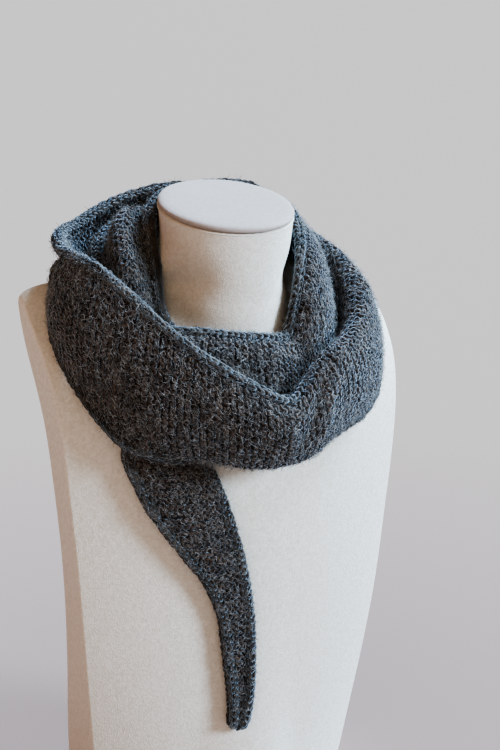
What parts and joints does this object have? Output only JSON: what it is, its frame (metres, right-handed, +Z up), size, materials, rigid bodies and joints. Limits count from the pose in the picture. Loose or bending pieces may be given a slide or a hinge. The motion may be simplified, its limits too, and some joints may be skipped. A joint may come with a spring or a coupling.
{
  "type": "knitted scarf on neck display bust",
  "caption": "Long narrow garter knitted alpaca scarf with cord edges, wound in loose rings round the neck of a velvet covered display bust, one end hanging down the chest.",
  "frame": {"origin": "on the flat base under the neck axis", "axes": "+Z up along the neck axis, -Y towards the front of the bust, +X towards the picture's right, on the wearer's left"},
  "size_m": [0.3002, 0.2165, 0.5129],
  "materials": {
    "bust_velvet": "cream velvet with a short nap",
    "cap_velvet": "cream velvet over thin padding",
    "scarf_knit": "charcoal alpaca garter knit with a soft halo"
  },
  "bodies": {
    "root": {"bust_body": "bust_velvet", "bust_cap": "cap_velvet", "scarf_hanging_end": "scarf_knit", "scarf_left_inner": "scarf_knit", "scarf_back_inner": "scarf_knit", "scarf_right_collar": "scarf_knit", "scarf_front_collar": "scarf_knit", "scarf_left_middle": "scarf_knit", "scarf_back_middle": "scarf_knit", "scarf_right_outer": "scarf_knit", "scarf_right_fold": "scarf_knit", "scarf_front_pocket": "scarf_knit", "scarf_front_drape": "scarf_knit", "scarf_left_corner": "scarf_knit", "scarf_back_outer": "scarf_knit"}
  },
  "joints": []
}
